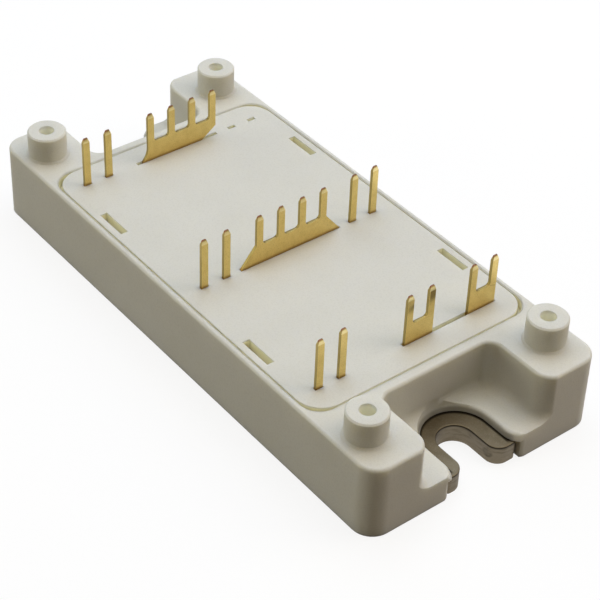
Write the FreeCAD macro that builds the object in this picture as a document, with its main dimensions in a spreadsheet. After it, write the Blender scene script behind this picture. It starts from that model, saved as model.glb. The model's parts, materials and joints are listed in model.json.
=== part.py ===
import FreeCAD, Part
import math
import os
import Sketcher

# Power module: a long plastic frame on a metal base plate, a flat lid that snaps into
# the frame, and three rows of blade terminals that stand up through slots in the lid.
# Frame of the model: X along the length, Y across, Z up, with the origin at the middle
# of the underside. All lengths are millimetres and all angles degrees.

doc = FreeCAD.newDocument("power_module")

# Driving dimensions
SIZES = {
    # plastic frame
    "body_length": 90.2,
    "body_width": 40.4,
    "body_height": 11.8,
    "wall_draft": 0.4,
    "corner_radius": 3.2,
    "rim_bevel": 0.3,
    "side_wall": 2.3,
    "cavity_length": 62.0,
    "cavity_radius": 2.0,
    # recess for the screw head at each end
    "recess_distance": 33.9,
    "recess_width": 20.2,
    "recess_floor": 4.2,
    "recess_radius": 2.0,
    "recess_fillet": 1.5,
    "cheek_radius": 3.0,
    "mouth_run_out": 0.15,
    "screw_spacing": 78.8,
    "washer_cut": 11.2,
    "washer_cut_line": 0.0,
    "washer_cut_radius": 2.4,
    "washer_cut_draft": 26.0,
    # four posts for the circuit board above
    "post_spacing_x": 76.8,
    "post_spacing_y": 31.6,
    "post_radius": 2.95,
    "post_height": 4.2,
    "post_foot_bevel": 0.3,
    "post_top_bevel": 0.22,
    "post_hole_radius": 1.17,
    "post_hole_depth": 9.0,
    "core_wall": 1.9,
    "core_roof": 2.2,
    # lid with four snap hooks
    "lid_length": 64.0,
    "lid_width": 38.0,
    "lid_thickness": 1.6,
    "lid_radius": 4.0,
    "lid_gap": 0.2,
    "lid_seat_radius": 3.2,
    "window_distance": 17.6,
    "window_length": 5.6,
    "window_width": 1.15,
    "window_line": 17.4,
    "hook_thickness": 1.0,
    "hook_barb": 0.9,
    "hook_gap": 0.12,
    "catch_thickness": 1.4,
    "catch_depth": 0.9,
    # metal base plate with a screw slot at each end
    "plate_length": 89.0,
    "plate_shoulder": 85.2,
    "plate_width": 37.2,
    "plate_thickness": 3.0,
    "plate_radius": 2.0,
    "plate_gap": 0.2,
    "tab_width": 12.6,
    "tab_radius": 0.8,
    "slot_width": 5.5,
    "slot_line": -0.3,
    "slot_mouth_radius": 2.0,
    "adhesive_thickness": 0.2,
    "adhesive_width": 1.6,
    "adhesive_overhang": 0.6,
    # terminals
    "pin_pitch": 3.81,
    "pin_width": 1.15,
    "blade_thickness": 0.5,
    "pin_top": 20.05,
    "tip_length": 0.75,
    "tip_inset": 0.28,
    "tip_bevel": 0.13,
    "notch_height": 3.15,
    "fork_notch_height": 3.28,
    "notch_radius": 0.55,
    "flare_width": 0.95,
    "flare_radius": 3.0,
    "bevel_start": 1.75,
    "bevel_width": 3.0,
    "bevel_height": 2.1,
    "wing_width": 2.56,
    "shoulder_level": 9.8,
    "yoke_bottom": 8.0,
    "row_far": -28.1,
    "row_middle": 2.03,
    "row_near": 27.87,
    "slot_gap": 0.06,
    "slot_end_gap": 0.12,
    "slot_run_out": 1.05,
    "leg_width": 1.9,
    "foot_length": 1.7,
    "bend_radius": 0.35,
    # insulated substrates
    "substrate_length": 29.2,
    "substrate_width": 33.6,
    "substrate_distance": 15.1,
    "solder_thickness": 0.15,
    "copper_thickness": 0.3,
    "ceramic_thickness": 0.64,
    "ceramic_margin": 0.4,
    "copper_margin": 0.6,
    "track_gap": 0.8,
    "control_pad_width": 2.3,
    "control_pad_length": 8.0,
    "strip_width": 4.8,
    # chips and thermistor
    "joint_thickness": 0.1,
    "chip_thickness": 0.35,
    "transistor_size": 10.4,
    "transistor_line": -4.2,
    "diode_length": 6.0,
    "diode_width": 9.0,
    "diode_line": 5.0,
    "thermistor_length": 3.0,
    "thermistor_width": 1.4,
    "thermistor_height": 0.9,
    "thermistor_end": 0.5,
    "thermistor_line": -9.0,
    # bond wires
    "wire_width": 0.3,
    "wire_bend": 0.45,
    "wire_rise": 0.85,
    "wire_pitch": 1.4,
    "wire_count": 6,
    "chip_wire_start": -1.5,
    "chip_wire_end": 3.4,
    "strip_wire_start": 6.4,
    "strip_wire_end": 10.2,
    "bridge_wire_count": 5,
    "bridge_start": 11.8,
    "bridge_end": -10.6,
    "gate_wire_line": -8.0,
    "sense_wire_line": -7.0,
    "strip_sense_line": 9.8,
    "area_sense_line": 7.2,
    "wire_edge_distance": 0.7,
    "wire_pad_offset": 0.5,
    # silicone gel
    "gel_level": 7.0,
    "gel_skin": 0.7,
    "gel_wall_gap": 0.3,
    "gel_gap": 0.15,
}

sheet = doc.addObject("Spreadsheet::Sheet", "Sizes")
for row, (alias, number) in enumerate(SIZES.items(), start=1):
    sheet.set("A%d" % row, alias)
    sheet.set("B%d" % row, str(number))
    sheet.setAlias("B%d" % row, alias)
doc.recompute()


class Size:
    """A value with the sheet expression that gives it, so that a sum stays bound."""

    def __init__(self, number, text):
        self.number = number
        self.text = text

    def join(self, other, sign, number):
        return Size(number, "(%s %s %s)" % (self.text, sign, size(other).text))

    def __add__(self, other):
        return self.join(other, "+", self.number + size(other).number)

    def __sub__(self, other):
        return self.join(other, "-", self.number - size(other).number)

    def __mul__(self, other):
        return self.join(other, "*", self.number * size(other).number)

    def __truediv__(self, other):
        return self.join(other, "/", self.number / size(other).number)

    def __radd__(self, other):
        return size(other) + self

    def __rsub__(self, other):
        return size(other) - self

    def __rmul__(self, other):
        return size(other) * self

    def __neg__(self):
        return -1 * self


def size(value):
    """A plain number or a Size, as a Size."""
    if isinstance(value, Size):
        return value
    return Size(float(value), "(%.6f)" % value)


def named(alias):
    """The driving dimension with this name."""
    return Size(float(SIZES[alias]), "Sizes.%s" % alias)


def bind(thing, prop, value):
    """Set a property and tie it to the sheet."""
    value = size(value)
    if "." not in prop:
        setattr(thing, prop, value.number)
    thing.setExpression(prop, value.text)


def place(thing, x, y, z):
    """Put an object at x, y, z."""
    spot = FreeCAD.Vector(size(x).number, size(y).number, size(z).number)
    thing.Placement = FreeCAD.Placement(spot, FreeCAD.Rotation())
    bind(thing, "Placement.Base.x", x)
    bind(thing, "Placement.Base.y", y)
    bind(thing, "Placement.Base.z", z)


# Sketches

def new_body(label):
    body = doc.addObject("PartDesign::Body", label)
    body.Label = label
    return body


def new_sketch(body, name, plane, offset=0):
    """A sketch on one of the body's own planes, moved along the plane's normal."""
    sketch = body.newObject("Sketcher::SketchObject", name)
    support = [item for item in body.Origin.OriginFeatures if item.Role == plane][0]
    sketch.AttachmentSupport = [(support, "")]
    sketch.MapMode = "FlatFace"
    shift = size(offset)
    sketch.AttachmentOffset = FreeCAD.Placement(
        FreeCAD.Vector(0, 0, shift.number), FreeCAD.Rotation())
    sketch.setExpression("AttachmentOffset.Base.z", shift.text)
    return sketch


def pin_point(sketch, item, end, x, y):
    """Fix one end of a sketch line or arc at x, y."""
    for kind, value in (("DistanceX", x), ("DistanceY", y)):
        rule = sketch.addConstraint(
            Sketcher.Constraint(kind, -1, 1, item, end, value.number))
        name = "%s_%d_%d" % (kind, item, end)
        sketch.renameConstraint(rule, name)
        sketch.setExpression("Constraints." + name, value.text)


def heading(start, end):
    run = end[0].number - start[0].number
    rise = end[1].number - start[1].number
    length = math.hypot(run, rise)
    return run / length, rise / length


def corner_joints(before, corner, after):
    """Where a rounded corner starts and ends, with its centre and its turn."""
    x, y, radius = corner
    into = heading(before, corner)
    out = heading(corner, after)
    cross = into[0] * out[1] - into[1] * out[0]
    turn = math.atan2(cross, into[0] * out[0] + into[1] * out[1])
    reach = radius * math.tan(abs(turn) / 2)
    side = 1 if cross > 0 else -1
    start = (x - reach * into[0], y - reach * into[1])
    end = (x + reach * out[0], y + reach * out[1])
    centre = (start[0].number - side * into[1] * radius.number,
              start[1].number + side * into[0] * radius.number)
    return start, end, centre, side


def draw_outline(sketch, corners):
    """Draw a closed outline.

    Each corner is x, y and a radius, or None where it is sharp.
    """
    corners = [(size(x), size(y), None if r is None else size(r)) for x, y, r in corners]
    joints = []
    for index, corner in enumerate(corners):
        if corner[2] is None:
            joints.append((corner, None))
            continue
        after = corners[(index + 1) % len(corners)]
        start, end, centre, side = corner_joints(corners[index - 1], corner, after)
        joints.append((start, (centre, side, corner[2])))
        joints.append((end, None))
    kept = []
    for index, (point, arc) in enumerate(joints):
        following = joints[(index + 1) % len(joints)][0]
        apart = math.hypot(point[0].number - following[0].number,
                           point[1].number - following[1].number)
        if arc or apart > 1e-6:
            kept.append((point, arc))
    ends = []
    for index, (point, arc) in enumerate(kept):
        following = kept[(index + 1) % len(kept)][0]
        first = FreeCAD.Vector(point[0].number, point[1].number, 0)
        last = FreeCAD.Vector(following[0].number, following[1].number, 0)
        if arc is None:
            item = sketch.addGeometry(Part.LineSegment(first, last), False)
            ends.append((item, 1, 2))
            continue
        centre, side, radius = arc
        middle = FreeCAD.Vector(centre[0], centre[1], 0)
        if side < 0:
            first, last = last, first
        from_angle = math.atan2(first.y - middle.y, first.x - middle.x)
        to_angle = math.atan2(last.y - middle.y, last.x - middle.x)
        if to_angle < from_angle:
            to_angle += 2 * math.pi
        circle = Part.Circle(middle, FreeCAD.Vector(0, 0, 1), radius.number)
        item = sketch.addGeometry(Part.ArcOfCircle(circle, from_angle, to_angle), False)
        ends.append((item, 1, 2) if side > 0 else (item, 2, 1))
        rule = sketch.addConstraint(Sketcher.Constraint("Radius", item, radius.number))
        sketch.renameConstraint(rule, "radius_%d" % item)
        sketch.setExpression("Constraints.radius_%d" % item, radius.text)
    for (item, _, end), (next_item, next_start, _) in zip(ends, ends[1:] + ends[:1]):
        sketch.addConstraint(
            Sketcher.Constraint("Coincident", item, end, next_item, next_start))
    for (item, start, end), (point, arc) in zip(ends, kept):
        pin_point(sketch, item, start, point[0], point[1])


def rectangle(x, y, length, width, radius=None):
    """Corners of a rectangle of this length along x and width along y, centred at x, y."""
    half_length = length / 2
    half_width = width / 2
    return [(x - half_length, y - half_width, radius),
            (x + half_length, y - half_width, radius),
            (x + half_length, y + half_width, radius),
            (x - half_length, y + half_width, radius)]


def draw_circle(sketch, x, y, radius):
    x, y, radius = size(x), size(y), size(radius)
    middle = FreeCAD.Vector(x.number, y.number, 0)
    circle = Part.Circle(middle, FreeCAD.Vector(0, 0, 1), radius.number)
    item = sketch.addGeometry(circle, False)
    rule = sketch.addConstraint(Sketcher.Constraint("Radius", item, radius.number))
    sketch.renameConstraint(rule, "radius_%d" % item)
    sketch.setExpression("Constraints.radius_%d" % item, radius.text)
    pin_point(sketch, item, 3, x, y)


# Features

def add_pad(body, name, sketch, length):
    pad = body.newObject("PartDesign::Pad", name)
    pad.Profile = sketch
    bind(pad, "Length", length)
    return pad


def add_pocket(body, name, sketch, depth, upward=False):
    """Cut a sketch downwards along its normal, or upwards where upward is set."""
    pocket = body.newObject("PartDesign::Pocket", name)
    pocket.Profile = sketch
    pocket.Reversed = upward
    bind(pocket, "Length", depth)
    return pocket


def edge_names(shape, test):
    """Names of the edges whose ends and middle all pass a test on the point."""
    names = []
    for index, edge in enumerate(shape.Edges, start=1):
        middle = edge.valueAt((edge.FirstParameter + edge.LastParameter) / 2)
        points = [vertex.Point for vertex in edge.Vertexes] + [middle]
        if all(test(point) for point in points):
            names.append("Edge%d" % index)
    return names


def add_fillet(body, name, radius, test):
    """Round every edge of the body so far whose points pass a test."""
    doc.recompute()
    base = body.Tip
    fillet = body.newObject("PartDesign::Fillet", name)
    fillet.Base = (base, edge_names(base.Shape, test))
    bind(fillet, "Radius", radius)
    return fillet


def add_bevel(body, name, width, test):
    """Cut a flat bevel on every edge of the body so far whose points pass a test."""
    doc.recompute()
    base = body.Tip
    bevel = body.newObject("PartDesign::Chamfer", name)
    bevel.Base = (base, edge_names(base.Shape, test))
    bind(bevel, "Size", width)
    return bevel


def near(value, target):
    return abs(value - target) < 0.01


# Sizes that follow from the driving ones
half_length = named("body_length") / 2
half_width = named("body_width") / 2
body_height = named("body_height")
plate_top = named("plate_thickness")
seat_level = plate_top + named("adhesive_thickness")
lid_underside = body_height - named("lid_thickness")
cavity_width = named("body_width") - 2 * named("side_wall")
floor_level = named("recess_floor")
post_x = named("post_spacing_x") / 2
post_y = named("post_spacing_y") / 2
CORNERS = ((-1, -1), (1, -1), (1, 1), (-1, 1))
ENDS = (-1, 1)
outside = 3.0


def end_opening(side, back, width, back_radius, mouth_radius, middle=0):
    """Outline of an opening that runs out through one end face.

    At the end face both walls turn outwards on an arc of the mouth radius. The middle is
    the distance of the opening's centre line from that of the frame.
    """
    turn = half_length + named("mouth_run_out")
    spread = width / 2 + mouth_radius + outside
    points = [(back, middle - width / 2, back_radius),
              (turn, middle - width / 2, mouth_radius),
              (turn, middle - spread, None),
              (turn + outside, middle - spread, None),
              (turn + outside, middle + spread, None),
              (turn, middle + spread, None),
              (turn, middle + width / 2, mouth_radius),
              (back, middle + width / 2, back_radius)]
    if side < 0:
        points = [(-x, -y, radius) for x, y, radius in points]
    return points


def plate_outline(clearance, slots):
    """Outline of the base plate: a rectangle with a tab at each end, and its screw slots."""
    shoulder = named("plate_shoulder") / 2 + clearance
    side = named("plate_width") / 2 + clearance
    tab_side = named("tab_width") / 2 + clearance
    tab_end = named("plate_length") / 2
    slot_side = named("slot_width") / 2
    slot_back = named("screw_spacing") / 2 - slot_side
    slot_line = named("slot_line")
    plate_radius = named("plate_radius")
    points = []
    for end in ENDS:
        tip = tab_end if slots else half_length + outside
        tab_radius = named("tab_radius") if slots else None
        half = [(shoulder, -side, plate_radius),
                (shoulder, -tab_side, None),
                (tip, -tab_side, tab_radius)]
        if slots:
            half += [(tab_end, slot_line - slot_side, named("slot_mouth_radius")),
                     (slot_back, slot_line - slot_side, slot_side),
                     (slot_back, slot_line + slot_side, slot_side),
                     (tab_end, slot_line + slot_side, named("slot_mouth_radius"))]
        half += [(tip, tab_side, tab_radius),
                 (shoulder, tab_side, None),
                 (shoulder, side, plate_radius)]
        points += [(-x, -y, radius) for x, y, radius in half] if end < 0 else half
    return points


# Moulded frame

def make_recess_form():
    """The two end recesses as solids, longer than the block, with rounded floors."""
    body = new_body("recess_form")
    sketch = new_sketch(body, "recess_outlines", "XY_Plane", floor_level)
    for side in ENDS:
        draw_outline(sketch, end_opening(side, named("recess_distance"),
                                         named("recess_width"), named("recess_radius"),
                                         named("cheek_radius")))
    add_pad(body, "recess_depths", sketch, body_height - floor_level + outside)
    floor = floor_level.number
    turn = half_length.number + SIZES["mouth_run_out"]
    add_fillet(body, "recess_floor_rounding", named("recess_fillet"),
               lambda p: near(p.z, floor) and abs(p.x) < turn + 0.01)
    return body


def make_housing():
    body = new_body("housing")
    sketch = new_sketch(body, "footprint", "XY_Plane")
    draw_outline(sketch, rectangle(0, 0, 2 * half_length, 2 * half_width,
                                   named("corner_radius")))
    block = add_pad(body, "block", sketch, body_height)
    bind(block, "TaperAngle", -named("wall_draft"))

    recesses = body.newObject("PartDesign::Boolean", "recesses")
    recesses.setObjects([make_recess_form()])
    recesses.Type = "Cut"
    height = body_height.number
    add_bevel(body, "rim_edge", named("rim_bevel"), lambda p: near(p.z, height))

    fillet = named("recess_fillet")
    floor_depth = floor_level - seat_level
    narrowing = floor_depth * Size(math.tan(math.radians(SIZES["washer_cut_draft"])),
                                   "tan(Sizes.washer_cut_draft)")
    for side, name in zip(ENDS, ("far", "near")):
        for step, level, depth, inset in (
                ("upper", floor_level + fillet, fillet, size(0)),
                ("sloped", floor_level, floor_depth, size(0)),
                ("lower", seat_level, seat_level, narrowing)):
            step_name = "%s_%s_washer_cut" % (name, step)
            sketch = new_sketch(body, step_name + "_outline", "XY_Plane", level)
            cut_radius = named("washer_cut") / 2 - inset
            draw_outline(sketch, end_opening(
                side, named("screw_spacing") / 2 - cut_radius, 2 * cut_radius, cut_radius,
                named("washer_cut_radius") + inset, named("washer_cut_line")))
            cut = add_pocket(body, step_name, sketch, depth)
            if step == "sloped":
                bind(cut, "TaperAngle", -named("washer_cut_draft"))

    sketch = new_sketch(body, "plate_pocket_outline", "XY_Plane")
    draw_outline(sketch, plate_outline(named("plate_gap"), False))
    add_pocket(body, "plate_pocket", sketch, seat_level, upward=True)

    sketch = new_sketch(body, "cavity_outline", "XY_Plane", seat_level)
    draw_outline(sketch, rectangle(0, 0, named("cavity_length"), cavity_width,
                                   named("cavity_radius")))
    add_pocket(body, "cavity", sketch, body_height - seat_level, upward=True)

    sketch = new_sketch(body, "lid_seat_outline", "XY_Plane", body_height)
    gap = named("lid_gap")
    draw_outline(sketch, rectangle(0, 0, named("lid_length") + 2 * gap,
                                   named("lid_width") + 2 * gap,
                                   named("lid_seat_radius")))
    add_pocket(body, "lid_seat", sketch, named("lid_thickness"))

    sketch = new_sketch(body, "catch_outline", "XY_Plane", lid_underside - named("hook_gap"))
    depth = named("catch_depth")
    root = named("side_wall") / 2
    for side_x, side_y in CORNERS:
        draw_outline(sketch, rectangle(side_x * named("window_distance"),
                                       side_y * (cavity_width - depth + root) / 2,
                                       named("window_length") - 2 * named("hook_gap"),
                                       depth + root))
    catches = add_pad(body, "catches", sketch, named("catch_thickness"))
    catches.Reversed = True

    wall = named("core_wall")
    core_start = named("recess_distance") + 0.5
    core_end = named("plate_shoulder") / 2 - wall / 2
    core_inner = named("recess_width") / 2 + wall
    core_outer = half_width - wall
    sketch = new_sketch(body, "corner_core_outline", "XY_Plane", seat_level)
    for side_x, side_y in CORNERS:
        draw_outline(sketch, rectangle(side_x * (core_start + core_end) / 2,
                                       side_y * (core_inner + core_outer) / 2,
                                       core_end - core_start, core_outer - core_inner,
                                       named("cavity_radius") / 2))
    add_pocket(body, "corner_cores", sketch,
               body_height - named("core_roof") - seat_level, upward=True)

    sketch = new_sketch(body, "boss_outline", "XY_Plane", seat_level)
    for side_x, side_y in CORNERS:
        draw_circle(sketch, side_x * post_x, side_y * post_y, named("post_radius"))
    add_pad(body, "bosses", sketch, body_height - named("core_roof") / 2 - seat_level)

    sketch = new_sketch(body, "post_outline", "XY_Plane", body_height - named("rim_bevel"))
    for side_x, side_y in CORNERS:
        draw_circle(sketch, side_x * post_x, side_y * post_y, named("post_radius"))
    add_pad(body, "posts", sketch, named("post_height") + named("rim_bevel"))

    top = height + SIZES["post_height"]
    add_bevel(body, "post_top_bevel", named("post_top_bevel"), lambda p: near(p.z, top))

    def at_post_foot(p):
        radius = math.hypot(abs(p.x) - post_x.number, abs(p.y) - post_y.number)
        return near(p.z, height) and near(radius, SIZES["post_radius"])

    add_bevel(body, "post_foot_bevel", named("post_foot_bevel"), at_post_foot)

    sketch = new_sketch(body, "post_hole_outline", "XY_Plane",
                        body_height + named("post_height"))
    for side_x, side_y in CORNERS:
        draw_circle(sketch, side_x * post_x, side_y * post_y, named("post_hole_radius"))
    add_pocket(body, "post_holes", sketch, named("post_hole_depth"))
    return body


# Base plate

def make_base_plate():
    body = new_body("base_plate")
    sketch = new_sketch(body, "plate_outline", "XY_Plane")
    draw_outline(sketch, plate_outline(size(0), True))
    add_pad(body, "plate", sketch, plate_top)
    return body


def make_adhesive():
    """Bead of sealing adhesive between the plate and the frame, round the cavity."""
    body = new_body("sealing_adhesive")
    sketch = new_sketch(body, "bead_outline", "XY_Plane", plate_top)
    bead = named("adhesive_width")
    draw_outline(sketch, rectangle(0, 0, named("cavity_length") + 2 * bead,
                                   named("plate_width"), named("cavity_radius")))
    inner = 2 * named("adhesive_overhang")
    draw_outline(sketch, rectangle(0, 0, named("cavity_length") - inner,
                                   cavity_width - inner, named("cavity_radius")))
    add_pad(body, "bead", sketch, named("adhesive_thickness"))
    return body


# Lid

pitch = named("pin_pitch")
thickness = named("blade_thickness")
half_pin = named("pin_width") / 2
first_line = -4 * pitch


def line(index):
    """Distance across the module of a place in a terminal row, counted from 0."""
    return first_line + index * pitch


FAR_PINS = (0, 1)
FAR_EMPTY = (7, 8)
MIDDLE_PINS = (0, 1, 7, 8)
NEAR_PINS = (0, 1)
comb_half = 1.5 * pitch + half_pin
fork_half = pitch / 2 + half_pin
far_comb_line = (line(4) + line(5)) / 2
fork_lines = ((line(4) + line(5)) / 2, (line(7) + line(8)) / 2)


def make_lid():
    body = new_body("lid")
    sketch = new_sketch(body, "lid_outline", "XY_Plane", lid_underside)
    draw_outline(sketch, rectangle(0, 0, named("lid_length"), named("lid_width"),
                                   named("lid_radius")))
    add_pad(body, "lid_plate", sketch, named("lid_thickness"))

    slot = thickness + 2 * named("slot_gap")
    end_gap = named("slot_end_gap")
    sketch = new_sketch(body, "slot_outlines", "XY_Plane", body_height)
    pin_slot = 2 * half_pin + 2 * end_gap
    for row, places in ((named("row_far"), FAR_PINS + FAR_EMPTY),
                        (named("row_middle"), MIDDLE_PINS),
                        (named("row_near"), NEAR_PINS)):
        for place_index in places:
            draw_outline(sketch, rectangle(row, line(place_index), slot, pin_slot))
    far_start = far_comb_line - comb_half - named("flare_width") - named("slot_run_out")
    far_end = far_comb_line + comb_half + 3 * end_gap
    draw_outline(sketch, rectangle(named("row_far"), (far_start + far_end) / 2,
                                   slot, far_end - far_start))
    draw_outline(sketch, rectangle(named("row_middle"), 0, slot,
                                   2 * (comb_half + named("wing_width") + end_gap)))
    fork_start = fork_lines[0] - fork_half - 2 * end_gap
    fork_end = fork_lines[1] + fork_half + 2 * end_gap
    draw_outline(sketch, rectangle(named("row_near"), (fork_start + fork_end) / 2,
                                   slot, fork_end - fork_start))
    add_pocket(body, "slots", sketch, named("lid_thickness"))

    sketch = new_sketch(body, "window_outlines", "XY_Plane", body_height)
    for side_x, side_y in CORNERS:
        draw_outline(sketch, rectangle(side_x * named("window_distance"),
                                       side_y * named("window_line"),
                                       named("window_length"), named("window_width")))
    add_pocket(body, "windows", sketch, named("lid_thickness"))

    hook = named("hook_thickness")
    gap = named("hook_gap")
    hook_width = named("window_length") - 2 * gap
    hook_face = named("window_line") - named("window_width") / 2
    catch_bottom = lid_underside - gap - named("catch_thickness")
    barb_top = catch_bottom - gap
    hook_bottom = barb_top - named("hook_barb")
    sketch = new_sketch(body, "hook_outlines", "XY_Plane", lid_underside)
    for side_x, side_y in CORNERS:
        draw_outline(sketch, rectangle(side_x * named("window_distance"),
                                       side_y * (hook_face - hook / 2), hook_width, hook))
    hooks = add_pad(body, "hooks", sketch, lid_underside - hook_bottom)
    hooks.Reversed = True

    barb_face = hook_face + named("hook_barb")
    for side_x, name in zip(ENDS, ("far", "near")):
        start = side_x * named("window_distance") - hook_width / 2
        sketch = new_sketch(body, name + "_barb_outlines", "YZ_Plane", start)
        for side_y in ENDS:
            draw_outline(sketch, [(side_y * (hook_face - hook / 2), barb_top, None),
                                  (side_y * barb_face, barb_top, None),
                                  (side_y * (hook_face + hook / 4), hook_bottom, None),
                                  (side_y * (hook_face - hook / 2), hook_bottom, None)])
        add_pad(body, name + "_barbs", sketch, hook_width)
    return body


# Terminals

solder_top = plate_top + named("solder_thickness")
back_copper_top = solder_top + named("copper_thickness")
ceramic_top = back_copper_top + named("ceramic_thickness")
pad_top = ceramic_top + named("copper_thickness")
joint_top = pad_top + named("joint_thickness")
pin_top = named("pin_top")
COMB_LEGS = (-1.5, -0.5, 0.5, 1.5)
FORK_LEGS = (-0.5, 0.5)


def teeth(places, notch_level):
    """Outline over the tops of the teeth of a blade, with rounded notches between them."""
    inset = named("tip_inset")
    tip_start = pin_top - named("tip_length")
    points = []
    for count, place_index in enumerate(places):
        middle = place_index * pitch
        if count:
            points.append((middle - half_pin, notch_level, named("notch_radius")))
        points += [(middle - half_pin, tip_start, None),
                   (middle - half_pin + inset, pin_top, None),
                   (middle + half_pin - inset, pin_top, None),
                   (middle + half_pin, tip_start, None)]
        if count + 1 < len(places):
            points.append((middle + half_pin, notch_level, named("notch_radius")))
    return points


def make_terminal(label, row, middle, outline, legs, foot_side):
    """A flat terminal across the module: blade, legs below it and feet turned to one side.

    The body stands at its row and at the middle of its teeth.
    """
    body = new_body(label)
    place(body, row, middle, 0)
    sketch = new_sketch(body, "blade_outline", "YZ_Plane", -(thickness / 2))
    draw_outline(sketch, outline)
    add_pad(body, "blade", sketch, thickness)

    half = thickness / 2
    bend = named("bend_radius")
    leg = named("leg_width")
    foot_end = foot_side * (half + named("foot_length"))
    for count, place_index in enumerate(legs):
        middle_line = place_index * pitch
        sketch = new_sketch(body, "leg_outline_%d" % count, "XZ_Plane",
                            -(middle_line + leg / 2))
        draw_outline(sketch, [(-foot_side * half, named("yoke_bottom"), None),
                              (-foot_side * half, joint_top, bend + thickness),
                              (foot_end, joint_top, None),
                              (foot_end, joint_top + thickness, None),
                              (foot_side * half, joint_top + thickness, bend),
                              (foot_side * half, named("yoke_bottom"), None)])
        add_pad(body, "leg_%d" % count, sketch, leg)

    widest = size(20)
    bevel = named("tip_bevel")
    bevel_start = pin_top - named("tip_length")
    above = pin_top + outside
    sketch = new_sketch(body, "tip_bevel_outline", "XZ_Plane", widest)
    for side in ENDS:
        draw_outline(sketch, [(side * half, bevel_start, None),
                              (side * (half - bevel), pin_top, None),
                              (side * (half - bevel), above, None),
                              (side * (half + outside), above, None),
                              (side * (half + outside), bevel_start, None)])
    add_pocket(body, "tip_bevels", sketch, 2 * widest)
    return body


yoke_bottom = named("yoke_bottom")


def far_comb_outline():
    """Four teeth with a curved flare at one side and a slope under the other."""
    flare = named("flare_width")
    slope_start = body_height + named("bevel_start")
    inner = comb_half - named("bevel_width")
    points = [(-comb_half - flare, yoke_bottom, None),
              (-comb_half - flare, body_height, None),
              (-comb_half, body_height + flare, named("flare_radius"))]
    points += teeth(COMB_LEGS, body_height + named("notch_height"))
    points += [(comb_half, slope_start, None),
               (inner, slope_start - named("bevel_height"), None),
               (inner, yoke_bottom, None)]
    return points


def middle_comb_outline():
    """Four teeth on a foot that widens to both sides down to the lid."""
    wide = comb_half + named("wing_width")
    notch_level = body_height + named("notch_height")
    points = [(-wide, yoke_bottom, None), (-wide, body_height, None),
              (-comb_half, notch_level, None)]
    points += teeth(COMB_LEGS, notch_level)
    points += [(comb_half, notch_level, None), (wide, body_height, None),
               (wide, yoke_bottom, None)]
    return points


def fork_outline():
    """Two teeth on a straight foot."""
    points = [(-fork_half, yoke_bottom, None)]
    points += teeth(FORK_LEGS, body_height + named("fork_notch_height"))
    points.append((fork_half, yoke_bottom, None))
    return points


def pin_outline():
    """One tooth, with a wider stem under the lid."""
    stem = named("leg_width") / 2
    shoulder = named("shoulder_level")
    points = [(-stem, yoke_bottom, None), (-stem, shoulder, None), (-half_pin, shoulder, None)]
    points += teeth((0,), shoulder)
    points += [(half_pin, shoulder, None), (stem, shoulder, None), (stem, yoke_bottom, None)]
    return points


FAR_COMB_LEGS = (-1.5, -0.5, 0.5)


def make_terminals():
    row_far, row_middle, row_near = named("row_far"), named("row_middle"), named("row_near")
    made = [make_terminal("terminal_comb_far", row_far, far_comb_line, far_comb_outline(),
                          FAR_COMB_LEGS, 1),
            make_terminal("terminal_comb_middle", row_middle, 0, middle_comb_outline(),
                          COMB_LEGS, 1),
            make_terminal("terminal_fork_centre", row_near, fork_lines[0], fork_outline(),
                          FORK_LEGS, -1),
            make_terminal("terminal_fork_side", row_near, fork_lines[1], fork_outline(),
                          FORK_LEGS, -1)]
    for row, places, side, name in ((row_far, FAR_PINS, 1, "far"),
                                    (row_middle, MIDDLE_PINS, 1, "middle"),
                                    (row_near, NEAR_PINS, -1, "near")):
        for count, place_index in enumerate(places, start=1):
            made.append(make_terminal("control_pin_%s_%d" % (name, count), row,
                                      line(place_index), pin_outline(), (0,), side))
    return made


# Substrates

half_substrate = named("substrate_length") / 2
copper_reach = half_substrate - named("copper_margin")
copper_side = named("substrate_width") / 2 - named("ceramic_margin")
pad_length = named("control_pad_length")
pad_width = named("control_pad_width")
power_side = -line(1) - pad_width / 2 - named("track_gap")
strip_start = copper_reach - named("strip_width")


def substrate_middle(side):
    return side * named("substrate_distance")


def span(start_x, end_x, start_y, end_y):
    """Corners of a rectangle between these limits."""
    return rectangle((start_x + end_x) / 2, (start_y + end_y) / 2,
                     end_x - start_x, end_y - start_y)


def make_layer(label, level, depth, length, width, sides):
    """Flat rectangular layers at one level, one on each named side of the middle."""
    body = new_body(label)
    sketch = new_sketch(body, label + "_outline", "XY_Plane", level)
    for side in sides:
        draw_outline(sketch, rectangle(substrate_middle(side), 0, length, width))
    add_pad(body, label + "_layer", sketch, depth)
    return body


def make_copper_pattern(label, side):
    """Conductor areas on one substrate: power area, output strip and control pads."""
    middle = substrate_middle(side)
    left = middle - copper_reach
    right = middle + copper_reach
    body = new_body(label)
    sketch = new_sketch(body, "pattern_outline", "XY_Plane", ceramic_top)
    upper = power_side if side > 0 else copper_side
    draw_outline(sketch, span(left, middle + strip_start - named("track_gap"),
                              -power_side, upper))
    draw_outline(sketch, span(middle + strip_start, right, -power_side, copper_side))
    pad_places = [(left + pad_length / 2, 0), (left + pad_length / 2, 1)]
    if side > 0:
        pad_places += [(left + pad_length / 2, 7), (left + pad_length / 2, 8),
                       (right - pad_length / 2, 0), (right - pad_length / 2, 1)]
    for pad_x, place_index in pad_places:
        draw_outline(sketch, rectangle(pad_x, line(place_index), pad_length, pad_width))
    add_pad(body, "pattern", sketch, named("copper_thickness"))
    return body


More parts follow.
